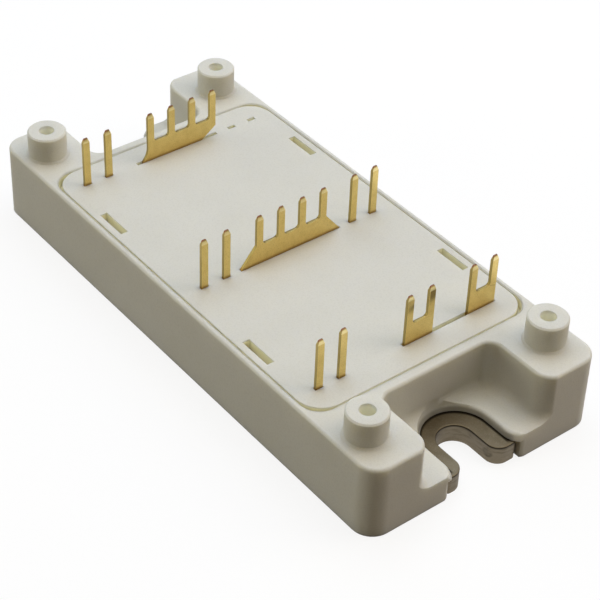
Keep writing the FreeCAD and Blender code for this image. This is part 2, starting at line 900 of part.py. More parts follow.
def foot_places():
    """Middle of each terminal foot, as x and y."""
    places = []
    reach = thickness / 2 + named("foot_length")
    for row, indices, side in (
            (named("row_far"), FAR_PINS, 1),
            (named("row_middle"), MIDDLE_PINS, 1),
            (named("row_near"), NEAR_PINS, -1)):
        places += [(row + side * reach, side, line(index)) for index in indices]
    places += [(named("row_far") + reach, 1, far_comb_line + index * pitch)
               for index in FAR_COMB_LEGS]
    places += [(named("row_middle") + reach, 1, index * pitch) for index in COMB_LEGS]
    for fork_line in fork_lines:
        places += [(named("row_near") - reach, -1, fork_line + index * pitch)
                   for index in FORK_LEGS]
    return places


thermistor_x = substrate_middle(1) + named("thermistor_line")
thermistor_y = (line(7) + line(8)) / 2


def make_joints():
    """Thin solder under the chips, the thermistor and the terminal feet."""
    body = new_body("component_solder")
    sketch = new_sketch(body, "joint_outlines", "XY_Plane", pad_top)
    flat = named("foot_length") - named("bend_radius")
    for tip, side, y in foot_places():
        draw_outline(sketch, rectangle(tip - side * flat / 2, y, flat, named("leg_width")))
    for side in ENDS:
        draw_outline(sketch, rectangle(substrate_middle(side) + named("transistor_line"), 0,
                                       named("transistor_size"), named("transistor_size")))
        draw_outline(sketch, rectangle(substrate_middle(side) + named("diode_line"), 0,
                                       named("diode_length"), named("diode_width")))
        end = named("thermistor_end")
        draw_outline(sketch, rectangle(
            thermistor_x, thermistor_y + side * (named("thermistor_length") - end) / 2,
            named("thermistor_width"), end))
    add_pad(body, "joints", sketch, named("joint_thickness"))
    return body


def make_chips(label, line_x, length, width):
    body = new_body(label)
    sketch = new_sketch(body, label + "_outline", "XY_Plane", joint_top)
    for side in ENDS:
        draw_outline(sketch, rectangle(substrate_middle(side) + line_x, 0, length, width))
    add_pad(body, label + "_block", sketch, named("chip_thickness"))
    return body


def make_thermistor():
    body = new_body("thermistor")
    sketch = new_sketch(body, "thermistor_outline", "XY_Plane", joint_top)
    draw_outline(sketch, rectangle(thermistor_x, thermistor_y, named("thermistor_width"),
                                   named("thermistor_length")))
    add_pad(body, "thermistor_block", sketch, named("thermistor_height"))
    return body


# Bond wires

chip_top = joint_top + named("chip_thickness")
wire_level = chip_top + named("wire_rise")


def add_wire(body, name, plane, offset, start, end, start_level, end_level):
    """A square wire that rises, runs level and comes down again, in one upright plane.

    Start and end are the middles of its feet, and both bends are cut off at 45 degrees.
    """
    half = named("wire_width") / 2
    bend = named("wire_bend")
    inner = bend * (math.sqrt(2) - 1)
    side = 1 if end.number > start.number else -1
    top = wire_level + half
    low = wire_level - half
    outer_start, inner_start = start - side * half, start + side * half
    outer_end, inner_end = end + side * half, end - side * half
    sketch = new_sketch(body, name + "_outline", plane, offset - half)
    draw_outline(sketch, [(outer_start, start_level, None),
                          (outer_start, top - bend, None),
                          (outer_start + side * bend, top, None),
                          (outer_end - side * bend, top, None),
                          (outer_end, top - bend, None),
                          (outer_end, end_level, None),
                          (inner_end, end_level, None),
                          (inner_end, low - inner, None),
                          (inner_end - side * inner, low, None),
                          (inner_start + side * inner, low, None),
                          (inner_start, low - inner, None),
                          (inner_start, start_level, None)])
    return add_pad(body, name, sketch, named("wire_width"))


def repeat_across(body, name, wire, distance, count):
    """Repeat a wire along Y over a whole distance."""
    pattern = body.newObject("PartDesign::LinearPattern", name)
    pattern.Originals = [wire]
    axis = [item for item in body.Origin.OriginFeatures if item.Role == "Y_Axis"][0]
    pattern.Direction = (axis, [""])
    bind(pattern, "Length", distance)
    pattern.Occurrences = count
    body.Tip = pattern
    return pattern


def make_power_wires(label, side):
    """Wires from the transistor to the diode and on to the output strip."""
    body = new_body(label)
    middle = substrate_middle(side)
    count = SIZES["wire_count"]
    distance = (named("wire_count") - 1) * named("wire_pitch")
    first = distance / 2
    wire = add_wire(body, "chip_wire", "XZ_Plane", first,
                    middle + named("chip_wire_start"),
                    middle + named("chip_wire_end"), chip_top, chip_top)
    repeat_across(body, "chip_wires", wire, distance, count)
    wire = add_wire(body, "strip_wire", "XZ_Plane", first,
                    middle + named("strip_wire_start"),
                    middle + named("strip_wire_end"), chip_top, pad_top)
    repeat_across(body, "strip_wires", wire, distance, count)
    return body


def make_bridge_wires():
    """Wires from the strip of the far substrate to the power area of the near one."""
    body = new_body("bridge_wires")
    count = SIZES["bridge_wire_count"]
    distance = (named("bridge_wire_count") - 1) * pitch
    start = substrate_middle(-1) + named("bridge_start")
    end = substrate_middle(1) + named("bridge_end")
    wire = add_wire(body, "bridge_wire", "XZ_Plane", distance / 2, start, end,
                    pad_top, pad_top)
    repeat_across(body, "bridge_wires_row", wire, distance, count)
    return body


def make_control_wires():
    """Thin wires from chips and strip to the control pads."""
    body = new_body("control_wires")
    inset = named("wire_edge_distance")
    offset = named("wire_pad_offset")
    chip_edge = -(named("transistor_size") / 2) + inset
    area_edge = -power_side + inset
    for side, name in zip(ENDS, ("far", "near")):
        middle = substrate_middle(side)
        add_wire(body, name + "_gate_wire", "YZ_Plane", middle + named("gate_wire_line"),
                 chip_edge, line(1) + offset, chip_top, pad_top)
        add_wire(body, name + "_sense_wire", "YZ_Plane", middle + named("sense_wire_line"),
                 chip_edge, line(0) + offset, chip_top, pad_top)
    middle = substrate_middle(1)
    add_wire(body, "strip_sense_wire", "YZ_Plane", middle + named("strip_sense_line"),
             area_edge, line(1) + offset, pad_top, pad_top)
    add_wire(body, "area_sense_wire", "YZ_Plane", middle + named("area_sense_line"),
             area_edge, line(0) + offset, pad_top, pad_top)
    return body


# Silicone gel

def make_gel():
    """Gel over the substrates: a rim along the cavity wall and a level skin.

    The skin has openings where the legs of the terminals pass.
    """
    body = new_body("silicone_gel")
    level = named("gel_level")
    sketch = new_sketch(body, "gel_outline", "XY_Plane", seat_level)
    draw_outline(sketch, rectangle(0, 0, named("cavity_length"), cavity_width,
                                   named("cavity_radius")))
    add_pad(body, "gel_block", sketch, level - seat_level)
    gap = 2 * named("gel_wall_gap")
    sketch = new_sketch(body, "gel_room_outline", "XY_Plane", seat_level)
    draw_outline(sketch, rectangle(
        0, 0, 2 * named("substrate_distance") + named("substrate_length") + gap,
        named("substrate_width") + gap))
    add_pocket(body, "gel_room", sketch, level - named("gel_skin") - seat_level, upward=True)
    sketch = new_sketch(body, "leg_openings", "XY_Plane", level)
    clear = 2 * named("gel_gap")
    for tip, side, y in foot_places():
        row = tip - side * (thickness / 2 + named("foot_length"))
        draw_outline(sketch, rectangle(row, y, thickness + clear, named("leg_width") + clear))
    add_pocket(body, "leg_passages", sketch, named("gel_skin"))
    return body


parts = [make_housing(), make_lid(), make_base_plate(), make_adhesive()]
substrate_size = (named("substrate_length"), named("substrate_width"))
back_size = (named("substrate_length") - 2 * named("copper_margin"),
             named("substrate_width") - 2 * named("ceramic_margin"))
parts += [
    make_layer("plate_solder", plate_top, named("solder_thickness"), *back_size, ENDS),
    make_layer("back_copper", solder_top, named("copper_thickness"), *back_size, ENDS),
    make_layer("ceramic_far", back_copper_top, named("ceramic_thickness"),
               *substrate_size, (-1,)),
    make_layer("ceramic_near", back_copper_top, named("ceramic_thickness"),
               *substrate_size, (1,)),
    make_copper_pattern("copper_pattern_far", -1),
    make_copper_pattern("copper_pattern_near", 1),
    make_joints(),
    make_chips("transistor_chips", named("transistor_line"), named("transistor_size"),
               named("transistor_size")),
    make_chips("diode_chips", named("diode_line"), named("diode_length"),
               named("diode_width")),
    make_thermistor(),
    make_power_wires("power_wires_far", -1),
    make_power_wires("power_wires_near", 1),
    make_bridge_wires(),
    make_control_wires(),
    make_gel(),
]
parts += make_terminals()

doc.recompute()
for item in doc.Objects:
    if "Invalid" in item.State or "Error" in item.State:
        raise RuntimeError("%s could not be built: %s" % (item.Label, item.State))
os.makedirs("parts", exist_ok=True)
for item in parts:
    if item.Shape.isNull() or not item.Shape.isValid():
        raise RuntimeError("%s has no valid shape" % item.Label)
    item.Shape.exportStep("parts/%s.step" % item.Label)
    print("%s: %d solids, %.1f mm3"
          % (item.Label, len(item.Shape.Solids), item.Shape.Volume))
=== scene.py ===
import json
import logging
import math
from dataclasses import dataclass, field
from enum import Enum
from typing import Callable, NamedTuple, Sequence, Union

import bpy
from mathutils import Euler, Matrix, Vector

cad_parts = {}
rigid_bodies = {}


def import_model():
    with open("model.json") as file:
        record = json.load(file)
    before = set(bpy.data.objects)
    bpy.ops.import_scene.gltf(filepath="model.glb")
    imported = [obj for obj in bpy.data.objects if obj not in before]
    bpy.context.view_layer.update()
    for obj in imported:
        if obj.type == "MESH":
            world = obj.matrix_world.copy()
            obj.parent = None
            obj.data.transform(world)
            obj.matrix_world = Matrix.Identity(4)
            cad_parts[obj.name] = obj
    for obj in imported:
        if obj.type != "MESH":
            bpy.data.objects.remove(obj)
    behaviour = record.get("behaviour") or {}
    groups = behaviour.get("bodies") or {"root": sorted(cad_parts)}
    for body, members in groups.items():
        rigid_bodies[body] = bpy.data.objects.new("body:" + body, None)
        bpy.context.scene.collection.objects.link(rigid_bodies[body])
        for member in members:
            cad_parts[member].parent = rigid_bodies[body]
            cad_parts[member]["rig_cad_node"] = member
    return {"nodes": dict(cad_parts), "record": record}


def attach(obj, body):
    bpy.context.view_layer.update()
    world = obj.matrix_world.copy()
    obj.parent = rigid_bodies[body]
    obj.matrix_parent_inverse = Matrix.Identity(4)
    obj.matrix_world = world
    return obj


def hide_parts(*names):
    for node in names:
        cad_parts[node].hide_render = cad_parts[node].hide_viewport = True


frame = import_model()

# A power module on a pale floor: a moulded plastic frame with a snapped-in lid on a
# nickel plated base plate, with rows of gold flashed blade terminals. Sizes here are
# millimetres unless a name says metres, and the finished meshes are in metres.

log = logging.getLogger("power_module")
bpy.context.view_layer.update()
MM = 0.001
MERGE_MM = 0.002
WELD_MM = 0.001
FLAT_DEGREES = 0.05
SQUARE_DEGREES = 80
LEVEL_MM = 0.01
Number = Union[int, float]
Colour = tuple[float, float, float, float]


class Axis(Enum):
    """A direction of the module, by its place in a coordinate."""

    LENGTH = 0
    WIDTH = 1
    HEIGHT = 2


class Row(Enum):
    """A row of terminals across the module, by its word in the solids' names."""

    FAR = "far"
    MIDDLE = "middle"
    NEAR = "near"


def srgb(red: int, green: int, blue: int) -> Colour:
    """A display colour of 0 to 255 as the linear colour that shaders use.

    Args:
        red: Red as it shows on a screen.
        green: Green as it shows on a screen.
        blue: Blue as it shows on a screen.

    Returns:
        The linear colour with full alpha.
    """
    def straighten(level: int) -> float:
        """One display level as a linear one."""
        part = level / 255
        return part / 12.92 if part <= 0.04045 else ((part + 0.055) / 1.055) ** 2.4

    return (straighten(red), straighten(green), straighten(blue), 1.0)


# Shader expressions

class Channel:
    """A number or vector inside a material that can be used in expressions."""

    def __init__(self, paint: "Paint", socket: bpy.types.NodeSocket) -> None:
        """Keep the socket and the material it belongs to.

        Args:
            paint: The material under construction.
            socket: The output socket that gives the value.
        """
        self.paint = paint
        self.socket = socket

    def maths(self, operation: str, *values: "Input") -> "Channel":
        """A Math node on this value and others.

        Args:
            operation: Name of the Math node's operation.
            *values: The other operands, in order.

        Returns:
            The result of the node.
        """
        inputs = {index: value for index, value in enumerate(values, start=1)}
        return self.paint.node("ShaderNodeMath", {"operation": operation},
                               {0: self, **inputs})

    def __add__(self, other: "Input") -> "Channel":
        """Sum."""
        return self.maths("ADD", other)

    def __radd__(self, other: "Input") -> "Channel":
        """Sum with a number in front."""
        return self.maths("ADD", other)

    def __sub__(self, other: "Input") -> "Channel":
        """Difference."""
        return self.maths("SUBTRACT", other)

    def __rsub__(self, other: "Input") -> "Channel":
        """A number less this value."""
        return (self * -1) + other

    def __mul__(self, other: "Input") -> "Channel":
        """Product."""
        return self.maths("MULTIPLY", other)

    def __rmul__(self, other: "Input") -> "Channel":
        """Product with a number in front."""
        return self.maths("MULTIPLY", other)

    def __truediv__(self, other: "Input") -> "Channel":
        """Quotient."""
        return self.maths("DIVIDE", other)

    def __pow__(self, other: "Input") -> "Channel":
        """Power."""
        return self.maths("POWER", other)

    def __abs__(self) -> "Channel":
        """Size without the sign."""
        return self.maths("ABSOLUTE")

    def most(self, other: "Input") -> "Channel":
        """The larger of two values."""
        return self.maths("MAXIMUM", other)

    def rise(self, start: Number, end: Number) -> "Channel":
        """A soft step from 0 to 1 between two levels, or from 1 to 0 where end is lower.

        Args:
            start: Level at which the step begins.
            end: Level at which the step has reached 1.

        Returns:
            The value of the step.
        """
        part = (self - start) / (end - start)
        return self.paint.node("ShaderNodeMapRange", {"interpolation_type": "SMOOTHSTEP"},
                               {0: part, 1: 0.0, 2: 1.0, 3: 0.0, 4: 1.0})


Input = Union[Number, Sequence[float], Channel]


class Spot(NamedTuple):
    """The point on the piece, in millimetres from the middle of the module's underside."""

    x: Channel
    y: Channel
    z: Channel

    def folded(self) -> "Spot":
        """The same point with both ends and both sides of the module laid together."""
        return Spot(abs(self.x), abs(self.y), self.z)


class Paint:
    """A material under construction, with short calls for its nodes."""

    def __init__(self, name: str) -> None:
        """Start an empty material.

        Args:
            name: Name of the material.
        """
        self.material = bpy.data.materials.new(name)
        self.material.use_nodes = True
        self.tree = self.material.node_tree
        self.tree.nodes.clear()

    def node(self, kind: str, settings: dict[str, object], inputs: dict[Union[int, str], Input],
             output: Union[int, str] = 0) -> Channel:
        """Add a node with its settings and the values or links of its sockets.

        Args:
            kind: Node type.
            settings: Properties of the node, set before its sockets.
            inputs: Value or link for each named or numbered input socket.
            output: The output socket to return.

        Returns:
            The chosen output.
        """
        made = self.tree.nodes.new(kind)
        for name, value in settings.items():
            setattr(made, name, value)
        for name, value in inputs.items():
            if isinstance(value, Channel):
                self.tree.links.new(value.socket, made.inputs[name])
            else:
                made.inputs[name].default_value = value
        return Channel(self, made.outputs[output])

    def place(self) -> Channel:
        """The point on the piece, in metres in the module's own frame."""
        return self.node("ShaderNodeTexCoord", {}, {}, "Object")

    def along(self, axis: Axis) -> Channel:
        """One coordinate of the point on the piece, in millimetres."""
        return self.node("ShaderNodeSeparateXYZ", {}, {0: self.place()}, axis.value) * 1000

    def spot(self) -> Spot:
        """The three coordinates of the point on the piece, in millimetres."""
        return Spot(self.along(Axis.LENGTH), self.along(Axis.WIDTH), self.along(Axis.HEIGHT))

    def facing(self, axis: Axis) -> Channel:
        """How far the surface faces along one axis, from -1 to 1."""
        normal = self.node("ShaderNodeTexCoord", {}, {}, "Normal")
        return self.node("ShaderNodeSeparateXYZ", {}, {0: normal}, axis.value)

    def stretched(self, scales: tuple[float, float, float]) -> Channel:
        """The point on the piece with each axis multiplied."""
        return self.node("ShaderNodeMapping", {}, {"Vector": self.place(), "Scale": scales})

    def noise(self, grain_mm: float, detail: float = 2.0, roughness: float = 0.5,
              vector: Union[Channel, None] = None) -> Channel:
        """Cloudy noise from 0 to 1 whose patches are about this size.

        Args:
            grain_mm: Size of the patches in millimetres.
            detail: Number of finer layers.
            roughness: Strength of the finer layers.
            vector: Place to read, or None for the point on the piece.

        Returns:
            The noise.
        """
        where = vector if vector is not None else self.place()
        return self.node("ShaderNodeTexNoise", {},
                         {"Vector": where, "Scale": 1000 / grain_mm, "Detail": detail,
                          "Roughness": roughness})

    def mix(self, share: Input, first: Input, second: Input) -> Channel:
        """A colour between two colours.

        Args:
            share: 0 gives the first colour and 1 the second.
            first: A colour or a link to one.
            second: A colour or a link to one.

        Returns:
            The mixed colour.
        """
        return self.node("ShaderNodeMix", {"data_type": "RGBA"}, {0: share, 6: first, 7: second},
                         2)

    def bump(self, height: Channel, depth_mm: float, over: Union[Channel, None] = None) -> Channel:
        """A bumped normal.

        Args:
            height: Height of the surface from 0 to 1.
            depth_mm: Real depth that a height of 1 stands for.
            over: A normal that this one is added to.

        Returns:
            The normal.
        """
        inputs: dict[Union[int, str], Input] = {"Height": height, "Distance": depth_mm * MM,
                                                "Strength": 1.0}
        if over is not None:
            inputs["Normal"] = over
        return self.node("ShaderNodeBump", {}, inputs)

    def surface(self, varying: dict[str, Input], fixed: dict[str, Input]) -> bpy.types.Material:
        """Close the material with its shader.

        Args:
            varying: Inputs that change over the surface.
            fixed: Inputs that are the same all over.

        Returns:
            The finished material.
        """
        self.close(self.node("ShaderNodeBsdfPrincipled", {}, {**fixed, **varying}))
        return self.material

    def close(self, shader: Channel) -> None:
        """Join a shader to the material's output."""
        end = self.tree.nodes.new("ShaderNodeOutputMaterial")
        self.tree.links.new(shader.socket, end.inputs[0])


# Finishes

@dataclass(frozen=True)
class MouldedPlastic:
    """Matt glass filled plastic with a fine grain, with painted light for light coming through it: a
    lighter, warmer colour inside the lid's outline below its top and in the post holes, and a faint
    painted glow at the groove, the windows and the post holes. The walls of the end slots get
    painted shade below their lips.
    """

    name: str
    colour: Colour = srgb(214, 212, 202)
    cloud: Colour = srgb(207, 205, 195)
    speck: Colour = srgb(190, 187, 175)
    # Painted light: warm and hole are lighter colours standing for light coming through the plastic,
    # and glow is a painted glow given as emission.
    warm: Colour = srgb(240, 236, 208)
    hole: Colour = srgb(250, 249, 236)
    glow: Colour = srgb(40, 38, 27)
    unlit: Colour = srgb(0, 0, 0)
    # Painted shade on the walls of the end slots below their lips.
    painted_slot_shade: Colour = srgb(112, 104, 84)
    slot_lip: float = 4.2
    slot_back: float = 33.5
    slot_mouth: float = 44.6
    slot_side: float = 6.4
    grain_depth: float = 0.018
    wave_depth: float = 0.02
    depth_share: float = 0.7
    reach: tuple[float, float, float] = (1.0, 0.95, 0.78)
    depth: float = 2.2
    inner_length: float = 32.7
    inner_width: float = 19.7
    inner_top: float = 11.74
    pins_length: float = 31.2
    pins_width: float = 14.8
    post_x: float = 38.4
    post_y: float = 15.8
    post_top: float = 16.0
    hole_radius: float = 1.3

    def below_lid_top(self, spot: Spot) -> Channel:
        """Where the surface lies within the lid's outline and below its top.

        Args:
            spot: The folded point on the piece.

        Returns:
            1 there and 0 elsewhere, with soft ends.
        """
        inside = spot.x.rise(self.inner_length, self.inner_length - 0.3)
        inside = inside * spot.y.rise(self.inner_width, self.inner_width - 0.3)
        return inside * spot.z.rise(self.inner_top, self.inner_top - 0.25)

    def in_post_hole(self, spot: Spot) -> Channel:
        """Where the surface lies in the blind hole of a post.

        Args:
            spot: The folded point on the piece.

        Returns:
            1 there and 0 elsewhere, with soft ends.
        """
        off_x, off_y = spot.x - self.post_x, spot.y - self.post_y
        from_axis = (off_x * off_x + off_y * off_y) ** 0.5
        within = from_axis.rise(self.hole_radius, self.hole_radius - 0.1)
        return within * spot.z.rise(self.post_top, self.post_top - 0.7)

    def on_slot_wall(self, spot: Spot) -> Channel:
        """Where the surface is the wall of an end slot, below its lip.

        Args:
            spot: The folded point on the piece.

        Returns:
            1 there and 0 elsewhere, with soft ends.
        """
        wall = spot.z.rise(self.slot_lip - 0.1, self.slot_lip - 0.6)
        wall = wall * spot.x.rise(self.slot_back, self.slot_back + 0.5)
        wall = wall * spot.x.rise(self.slot_mouth, self.slot_mouth - 1.0)
        return wall * spot.y.rise(self.slot_side, self.slot_side - 0.4)

    def past_pins(self, spot: Spot) -> Channel:
        """Where the surface lies outside all terminal slots, at the groove and the windows."""
        past_ends = spot.x.rise(self.pins_length, self.pins_length + 0.3)
        return past_ends.most(spot.y.rise(self.pins_width, self.pins_width + 0.3))

    def make(self) -> bpy.types.Material:
        """Build the material.

        Returns:
            The material.
        """
        paint = Paint(self.name)
        spot = paint.spot().folded()
        clouds = paint.noise(9.0, 3.0)
        specks = paint.noise(0.22, 1.0, 0.6)
        inside, in_hole = self.below_lid_top(spot), self.in_post_hole(spot)
        body = paint.mix(clouds.rise(0.35, 0.7) * 0.35, self.colour, self.cloud)
        body = paint.mix(specks.rise(0.45, 0.7) * 0.22, body, self.speck)
        # Painted shade low on the walls of the end slots.
        body = paint.mix(self.on_slot_wall(spot) * 0.6, body, self.painted_slot_shade)
        # Painted light: a lighter, warmer colour inside the lid's outline below its top, and a
        # lighter one in the post holes, for light coming through the plastic.
        body = paint.mix(inside * 0.85, body, self.warm)
        body = paint.mix(in_hole * 0.85, body, self.hole)
        # Painted glow, given as emission, at the groove, the windows and the post holes.
        lit = inside * self.past_pins(spot)
        lit = lit * spot.z.rise(self.inner_top - 1.2, self.inner_top - 0.5)
        glow = paint.mix(lit.most(in_hole), self.unlit, self.glow)
        normal = paint.bump(paint.noise(4.0, 1.0), self.wave_depth)
        normal = paint.bump(paint.noise(0.16, 2.0, 0.6), self.grain_depth, normal)
        roughness = 0.46 + clouds * 0.1
        return paint.surface({"Base Color": body, "Roughness": roughness, "Normal": normal,
                              "Emission Color": glow},
                             {"IOR": 1.5, "Specular IOR Level": 0.35,
                              "Emission Strength": 1.0,
                              "Subsurface Weight": self.depth_share,
                              "Subsurface Radius": self.reach,
                              "Subsurface Scale": self.depth * MM})


@dataclass(frozen=True)
class NickelPlate:
    """Satin nickel on rolled copper, with streaked and torn bands on the stamped edges, painted
    shade along the top of those edges, a painted shadow where the plate goes under the plastic, and
    a painted dark reflection on the side of each tab.
    """

    name: str
    colour: Colour = srgb(120, 108, 86)
    shade: Colour = srgb(98, 87, 67)
    speck: Colour = srgb(144, 135, 118)
    cut: Colour = srgb(122, 113, 97)
    streak: Colour = srgb(86, 76, 60)
    tear: Colour = srgb(150, 138, 118)
    # Painted shade along the top of the stamped edges.
    painted_edge_shade: Colour = srgb(24, 20, 14)
    # Painted shadow where the top of the plate goes under the plastic.
    painted_gap_shadow: Colour = srgb(36, 30, 22)
    # Painted dark reflection: a soft oval on the side of each tab.
    painted_dark_reflection: Colour = srgb(48, 42, 32)
    thickness: float = 3.0
    torn_top: float = 1.3
    slot_centre: float = 39.4
    gap_radius: float = 4.72
    gap_mouth: float = 44.3
    reflection_x: float = 42.7
    reflection_z: float = 1.5
    reflection_length: float = 0.85
    reflection_height: float = 0.75
    relief: float = 0.01

    def under_lip(self, spot: Spot) -> Channel:
        """Where the top of the plate goes under the plastic round a slot, which gets a painted
        shadow.

        Args:
            spot: The folded point on the piece.

        Returns:
            1 there and 0 elsewhere, with soft ends.
        """
        past = (self.slot_centre - spot.x).most(0)
        from_slot = (past * past + spot.y * spot.y) ** 0.5
        ring = from_slot.rise(self.gap_radius, self.gap_radius + 0.3)
        return ring * spot.x.rise(self.gap_mouth, self.gap_mouth - 0.7)

    def in_painted_reflection(self, spot: Spot) -> Channel:
        """Where the side of a tab has its painted dark reflection, a soft oval.

        Args:
            spot: The folded point on the piece.

        Returns:
            1 there and 0 elsewhere, with soft ends.
        """
        off_x = (spot.x - self.reflection_x) / self.reflection_length
        off_z = (spot.z - self.reflection_z) / self.reflection_height
        return (off_x * off_x + off_z * off_z).rise(1.3, 0.5)

    def make(self) -> bpy.types.Material:
        """Build the material.

        Returns:
            The material.
        """
        paint = Paint(self.name)
        spot = paint.spot().folded()
        edge = abs(paint.facing(Axis.HEIGHT)).rise(0.6, 0.3)
        under_lip = self.under_lip(spot) * (1 - edge)
        in_painted_reflection = self.in_painted_reflection(spot) * edge * paint.facing(Axis.WIDTH).rise(-0.1, -0.4)
        clouds = paint.noise(3.0, 3.0)
        rolled = paint.noise(0.25, 3.0, 0.6, paint.stretched((0.08, 1.0, 1.0)))
        specks = paint.noise(0.22, 2.0, 0.7)
        streaks = paint.noise(0.3, 3.0, 0.6, paint.stretched((0.15, 0.15, 1.0)))
        torn = paint.noise(0.18, 3.0, 0.7, paint.stretched((1.0, 1.0, 0.4)))
        torn_band = edge * spot.z.rise(self.torn_top, self.torn_top - 0.4)
        painted_edge_shade = edge * spot.z.rise(self.thickness - 0.45, self.thickness - 0.2)
        body = paint.mix(clouds.rise(0.4, 0.7) * 0.5, self.colour, self.shade)
        body = paint.mix(specks.rise(0.5, 0.75) * 0.4, body, self.speck)
        body = paint.mix(edge * 0.85, body, self.cut)
        body = paint.mix(edge * streaks.rise(0.42, 0.7) * 0.6, body, self.streak)
        body = paint.mix(torn_band * torn * 0.5, body, self.tear)
        # Painted shade, near black, along the top of the stamped edges.
        body = paint.mix(painted_edge_shade * 0.85, body, self.painted_edge_shade)
        # Painted shadow on the top of the plate where it goes under the plastic.
        body = paint.mix(under_lip * 0.85, body, self.painted_gap_shadow)
        # Painted dark reflection, a soft oval on the side of each tab.
        body = paint.mix(in_painted_reflection * clouds.rise(0.25, 0.5) * 0.6, body, self.painted_dark_reflection)
        roughness = 0.42 + clouds * 0.12 + torn_band * 0.08
        height = rolled * (1 - edge) * 0.5 + torn * torn_band + streaks * edge
        return paint.surface({"Base Color": body, "Roughness": roughness,
                              "Normal": paint.bump(height, self.relief)}, {"Metallic": 1.0})


@dataclass(frozen=True)
class GoldFlash:
    """Thin gold over nickel on stamped blades, with bare metal at the cut tips, a painted highlight
    on the wide faces just under each tip, and painted shade at the feet of the blades, in the
    notches and in one crease.
    """

    name: str
    colour: Colour = srgb(233, 207, 131)
    dull: Colour = srgb(198, 168, 92)
    speck: Colour = srgb(176, 148, 78)
    sheared: Colour = srgb(138, 124, 72)
    shaded: Colour = srgb(122, 92, 40)
    # Painted shade at the foot of each blade, where it meets the lid.
    painted_foot_shade: Colour = srgb(150, 104, 46)
    stain: Colour = srgb(96, 76, 36)
    # Painted shade in the line of the crease, which is also bumped in.
    painted_crease_shade: Colour = srgb(140, 110, 52)
    # Painted highlight on the wide faces just under each tip.
    painted_facet_highlight: Colour = srgb(255, 240, 184)
    bare: Colour = srgb(124, 70, 58)
    tip: float = 20.05
    lid_top: float = 11.8
    stained_row: float = 27.87
    stained_teeth: tuple[float, float] = (0.0, 3.81)
    stain_offset: float = 0.2
    stain_reach: float = 0.75
    creased_tooth: float = 15.24
    crease: float = 14.87
    crease_slope: float = 0.35
    relief: float = 0.006

    @staticmethod
    def near(place: Channel, middle: float, reach: float) -> Channel:
        """Whether a coordinate is within this reach of a middle, with soft ends."""
        return abs(place - middle).rise(reach, reach * 0.7)

    def on_stained_row(self, spot: Spot) -> Channel:
        """Whether the point belongs to the row with the stains and the crease."""
        return self.near(spot.x, self.stained_row, 1.0)

    def stained(self, paint: Paint, spot: Spot, tooth: float) -> Channel:
        """How strongly one tooth is stained.

        Args:
            paint: The material under construction.
            spot: The point on the piece.
            tooth: Place of the tooth across the module.

        Returns:
            The strength of the stain, from 0 to 1.
        """
        patch = self.on_stained_row(spot)
        patch = patch * self.near(spot.y, tooth + self.stain_offset, self.stain_reach)
        patch = patch * spot.z.rise(self.tip - 3.4, self.tip - 1.6)
        patch = patch * spot.z.rise(self.tip, self.tip - 0.9)
        return patch * paint.noise(2.2, 1.0).rise(0.3, 0.6)

    def creased(self, spot: Spot) -> Channel:
        """The slanting crease on one tooth.

        Args:
            spot: The point on the piece.

        Returns:
            1 in the crease and 0 elsewhere, with soft ends.
        """
        slanted = spot.z + (spot.y - self.creased_tooth) * self.crease_slope
        on_tooth = self.on_stained_row(spot) * self.near(spot.y, self.creased_tooth, 0.9)
        return on_tooth * self.near(slanted, self.crease, 0.12)

    def make(self) -> bpy.types.Material:
        """Build the material.

        Returns:
            The material.
        """
        paint = Paint(self.name)
        spot = paint.spot()
        upward = paint.facing(Axis.HEIGHT)
        side = abs(paint.facing(Axis.WIDTH)).rise(0.5, 0.8)
        at_top = upward.rise(0.25, 0.45) * spot.z.rise(self.tip - 0.6, self.tip - 0.4)
        at_foot = spot.z.rise(self.lid_top + 0.5, self.lid_top + 0.05)
        in_notch = upward.rise(0.6, 0.85) * spot.z.rise(self.tip - 1.0, self.tip - 1.2)
        # Painted highlight band on the wide faces just under each tip.
        painted_highlight_band = abs(paint.facing(Axis.LENGTH)).rise(0.6, 0.8)
        painted_highlight_band = painted_highlight_band * self.near(spot.z, self.tip - 0.5, 0.3)
        clouds = paint.noise(1.1, 3.0)
        specks = paint.noise(0.16, 2.0, 0.7)
        drawn = paint.noise(0.3, 2.0, 0.5, paint.stretched((1.0, 1.0, 0.12)))
        crease = self.creased(spot)
        body = paint.mix(clouds.rise(0.35, 0.75) * 0.22, self.colour, self.dull)
        body = paint.mix(specks.rise(0.5, 0.72) * 0.45, body, self.speck)
        body = paint.mix(side * 0.7, body, self.sheared)
        body = paint.mix(in_notch * 0.7, body, self.shaded)
        # Painted shade at the foot of each blade, where it meets the lid.
        body = paint.mix(at_foot * 0.55, body, self.painted_foot_shade)
        for tooth in self.stained_teeth:
            body = paint.mix(self.stained(paint, spot, tooth) * 0.7, body, self.stain)
        # The crease is bumped in, and its line is painted darker as shade.
        body = paint.mix(crease * 0.3, body, self.painted_crease_shade)
        body = paint.mix(painted_highlight_band * 0.6, body, self.painted_facet_highlight)
        body = paint.mix(at_top * 0.9, body, self.bare)
        roughness = 0.28 + clouds * 0.12 + side * 0.12
        height = drawn * 0.6 + specks * 0.4 - crease
        return paint.surface({"Base Color": body, "Roughness": roughness,
                              "Normal": paint.bump(height, self.relief)}, {"Metallic": 1.0})


